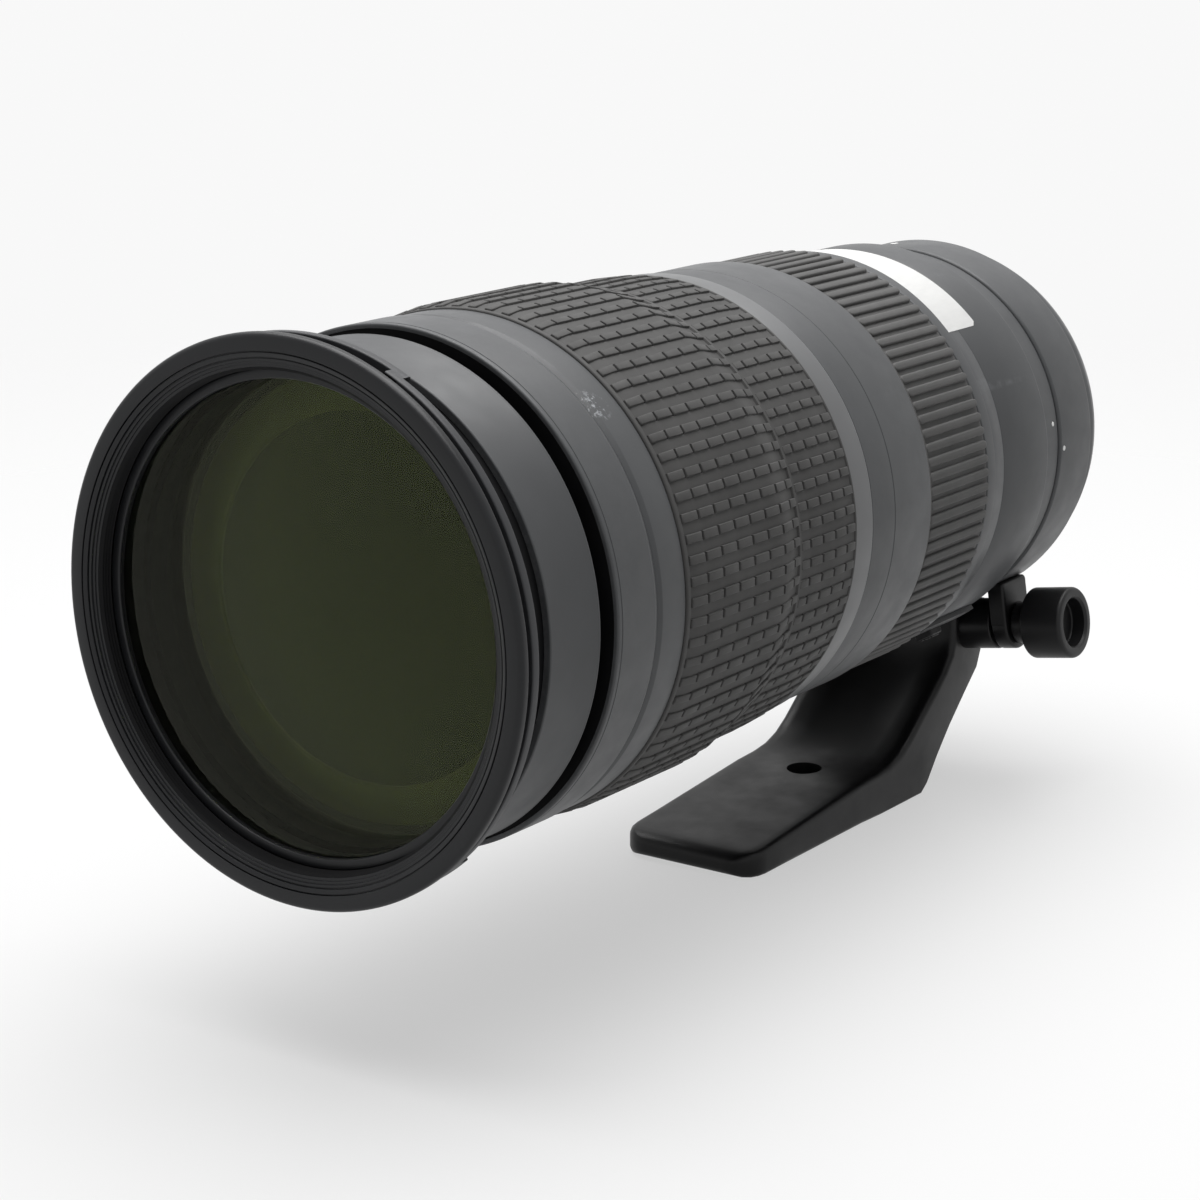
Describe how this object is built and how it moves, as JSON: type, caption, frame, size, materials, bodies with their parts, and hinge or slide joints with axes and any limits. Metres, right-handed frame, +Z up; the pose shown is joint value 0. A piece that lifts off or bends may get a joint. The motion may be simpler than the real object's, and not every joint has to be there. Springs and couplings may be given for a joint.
{
  "type": "camera zoom lens",
  "caption": "Super-telephoto camera zoom lens with an extending front barrel, rubber zoom and focus rings, slide switches and a turning tripod collar with a foot.",
  "frame": {"origin": "centre of the camera mount's flange face, on the optical axis", "axes": "+Y along the optical axis towards the camera, so the front of the lens points to -Y; +Z up, away from the foot; +X to the right seen from the front"},
  "size_m": [0.1092, 0.2731, 0.1406],
  "materials": {
    "barrel_shell": "fine matt grain",
    "front_black": "satin black",
    "inner_black": "matt black",
    "rubber": "ribbed matt rubber",
    "accent": "satin",
    "foot_paint": "satin black paint",
    "knob_plastic": "fine grain",
    "collar_paint": "fine matt grain",
    "coated_glass": "green coated",
    "clear_glass": "polished",
    "tube_metal": "satin",
    "bright_steel": "fine turned",
    "brass": "satin",
    "gold": "polished",
    "board": "board lacquer"
  },
  "bodies": {
    "barrel": {"guide_tube": "tube_metal", "mouth_ring": "barrel_shell", "middle_barrel": "barrel_shell", "rear_barrel": "barrel_shell", "switch_panel": "front_black", "rear_cover": "barrel_shell", "bayonet_mount": "bright_steel", "mount_screws": "bright_steel", "mount_gasket": "rubber", "contact_block": "knob_plastic", "contact_pins": "gold", "motor_stator": "brass", "stabiliser_base": "inner_black", "iris_base": "inner_black", "rear_cell": "inner_black", "rear_lenses": "clear_glass", "circuit_board": "board"},
    "zoom_ring": {"zoom_ring": "barrel_shell", "zoom_grip": "rubber", "accent_ring": "accent", "cam_tube": "inner_black", "zoom_screws": "bright_steel"},
    "front_barrel": {"front_ring": "front_black", "front_retainer": "inner_black", "front_element": "coated_glass", "front_doublet": "coated_glass", "front_cell": "inner_black", "front_sleeve": "barrel_shell", "extension_tube": "front_black", "front_followers": "brass"},
    "variator": {"variator_cell": "inner_black", "variator_lenses": "clear_glass", "variator_followers": "brass"},
    "focus_ring": {"focus_ring": "barrel_shell", "focus_grip": "rubber"},
    "focus_group": {"focus_cell": "inner_black", "focus_lens": "clear_glass"},
    "motor_rotor": {"motor_rotor": "bright_steel"},
    "stabiliser_guide": {"stabiliser_guide": "tube_metal"},
    "stabiliser_carrier": {"stabiliser_carrier": "inner_black", "stabiliser_lens": "clear_glass"},
    "iris_ring": {"iris_ring": "tube_metal"},
    "iris_blade_1": {"iris_blade_1": "inner_black"},
    "iris_blade_2": {"iris_blade_2": "inner_black"},
    "iris_blade_3": {"iris_blade_3": "inner_black"},
    "iris_blade_4": {"iris_blade_4": "inner_black"},
    "iris_blade_5": {"iris_blade_5": "inner_black"},
    "iris_blade_6": {"iris_blade_6": "inner_black"},
    "iris_blade_7": {"iris_blade_7": "inner_black"},
    "iris_blade_8": {"iris_blade_8": "inner_black"},
    "iris_blade_9": {"iris_blade_9": "inner_black"},
    "collar": {"collar_base": "foot_paint", "collar_hinge_pin": "bright_steel"},
    "collar_strap": {"collar_strap": "collar_paint"},
    "collar_knob": {"collar_knob": "knob_plastic"},
    "zoom_lock": {"zoom_lock_switch": "knob_plastic"},
    "focus_mode": {"focus_mode_switch": "knob_plastic"},
    "focus_limit": {"focus_limit_switch": "knob_plastic"},
    "stabiliser_mode": {"stabiliser_mode_switch": "knob_plastic"},
    "stabiliser_power": {"stabiliser_switch": "knob_plastic"}
  },
  "joints": [
    {"name": "zoom_turn", "type": "hinge", "parent": "barrel", "child": "zoom_ring", "pos_m": [0, -0.179, 0], "axis": [0, -1, 0], "range_deg": [0, 160]},
    {"name": "front_slide", "type": "slide", "parent": "barrel", "child": "front_barrel", "axis": [0, -1, 0], "range_m": [0, 0.078]},
    {"name": "variator_slide", "type": "slide", "parent": "barrel", "child": "variator", "axis": [0, 1, 0], "range_m": [0, 0.012]},
    {"name": "focus_turn", "type": "hinge", "parent": "barrel", "child": "focus_ring", "pos_m": [0, -0.0955, 0], "axis": [0, -1, 0], "range_deg": [0, 180]},
    {"name": "focus_slide", "type": "slide", "parent": "barrel", "child": "focus_group", "axis": [0, -1, 0], "range_m": [0, 0.008]},
    {"name": "rotor_turn", "type": "hinge", "parent": "barrel", "child": "motor_rotor", "pos_m": [0, -0.077, 0], "axis": [0, -1, 0], "range_deg": [0, 180]},
    {"name": "stabiliser_across", "type": "slide", "parent": "barrel", "child": "stabiliser_guide", "axis": [1, 0, 0], "range_m": [-0.001, 0.001]},
    {"name": "stabiliser_up", "type": "slide", "parent": "stabiliser_guide", "child": "stabiliser_carrier", "axis": [0, 0, 1], "range_m": [-0.001, 0.001]},
    {"name": "iris_turn", "type": "hinge", "parent": "barrel", "child": "iris_ring", "pos_m": [0, -0.058, 0], "axis": [0, -1, 0], "range_deg": [0, 10]},
    {"name": "blade_1_turn", "type": "hinge", "parent": "barrel", "child": "iris_blade_1", "pos_m": [0.0242, -0.055, 0], "axis": [0, -1, 0], "range_deg": [0, 30]},
    {"name": "blade_2_turn", "type": "hinge", "parent": "barrel", "child": "iris_blade_2", "pos_m": [0.01854, -0.055, 0.01556], "axis": [0, -1, 0], "range_deg": [0, 30]},
    {"name": "blade_3_turn", "type": "hinge", "parent": "barrel", "child": "iris_blade_3", "pos_m": [0.0042, -0.055, 0.02383], "axis": [0, -1, 0], "range_deg": [0, 30]},
    {"name": "blade_4_turn", "type": "hinge", "parent": "barrel", "child": "iris_blade_4", "pos_m": [-0.0121, -0.055, 0.02096], "axis": [0, -1, 0], "range_deg": [0, 30]},
    {"name": "blade_5_turn", "type": "hinge", "parent": "barrel", "child": "iris_blade_5", "pos_m": [-0.02274, -0.055, 0.00828], "axis": [0, -1, 0], "range_deg": [0, 30]},
    {"name": "blade_6_turn", "type": "hinge", "parent": "barrel", "child": "iris_blade_6", "pos_m": [-0.02274, -0.055, -0.00828], "axis": [0, -1, 0], "range_deg": [0, 30]},
    {"name": "blade_7_turn", "type": "hinge", "parent": "barrel", "child": "iris_blade_7", "pos_m": [-0.0121, -0.055, -0.02096], "axis": [0, -1, 0], "range_deg": [0, 30]},
    {"name": "blade_8_turn", "type": "hinge", "parent": "barrel", "child": "iris_blade_8", "pos_m": [0.0042, -0.055, -0.02383], "axis": [0, -1, 0], "range_deg": [0, 30]},
    {"name": "blade_9_turn", "type": "hinge", "parent": "barrel", "child": "iris_blade_9", "pos_m": [0.01854, -0.055, -0.01556], "axis": [0, -1, 0], "range_deg": [0, 30]},
    {"name": "collar_turn", "type": "hinge", "parent": "barrel", "child": "collar", "pos_m": [0, -0.03225, 0], "axis": [0, -1, 0], "continuous": true},
    {"name": "collar_open", "type": "hinge", "parent": "collar", "child": "collar_strap", "pos_m": [-0.0226, -0.03225, 0.03914], "axis": [0, -1, 0], "range_deg": [0, 70]},
    {"name": "knob_turn", "type": "hinge", "parent": "collar_strap", "child": "collar_knob", "pos_m": [0.02675, -0.03225, -0.04633], "axis": [0.9877, 0, 0.1564], "range_deg": [0, 720]},
    {"name": "zoom_lock_slide", "type": "slide", "parent": "barrel", "child": "zoom_lock", "axis": [0, -1, 0], "range_m": [0, 0.003]},
    {"name": "focus_mode_slide", "type": "slide", "parent": "barrel", "child": "focus_mode", "axis": [0, -1, 0], "range_m": [0, 0.003]},
    {"name": "focus_limit_slide", "type": "slide", "parent": "barrel", "child": "focus_limit", "axis": [0, -1, 0], "range_m": [0, 0.003]},
    {"name": "stabiliser_mode_slide", "type": "slide", "parent": "barrel", "child": "stabiliser_mode", "axis": [0, -1, 0], "range_m": [0, 0.003]},
    {"name": "stabiliser_power_slide", "type": "slide", "parent": "barrel", "child": "stabiliser_power", "axis": [0, -1, 0], "range_m": [0, 0.003]}
  ],
  "couplings": [
    {"joint": "front_slide", "follows": "zoom_turn", "m_per_rad": 0.027931},
    {"joint": "variator_slide", "follows": "zoom_turn", "m_per_rad": 0.004297},
    {"joint": "focus_slide", "follows": "focus_turn", "m_per_rad": 0.002546},
    {"joint": "rotor_turn", "follows": "focus_turn", "ratio": 1},
    {"joint": "blade_1_turn", "follows": "iris_turn", "ratio": 3},
    {"joint": "blade_2_turn", "follows": "iris_turn", "ratio": 3},
    {"joint": "blade_3_turn", "follows": "iris_turn", "ratio": 3},
    {"joint": "blade_4_turn", "follows": "iris_turn", "ratio": 3},
    {"joint": "blade_5_turn", "follows": "iris_turn", "ratio": 3},
    {"joint": "blade_6_turn", "follows": "iris_turn", "ratio": 3},
    {"joint": "blade_7_turn", "follows": "iris_turn", "ratio": 3},
    {"joint": "blade_8_turn", "follows": "iris_turn", "ratio": 3},
    {"joint": "blade_9_turn", "follows": "iris_turn", "ratio": 3}
  ]
}
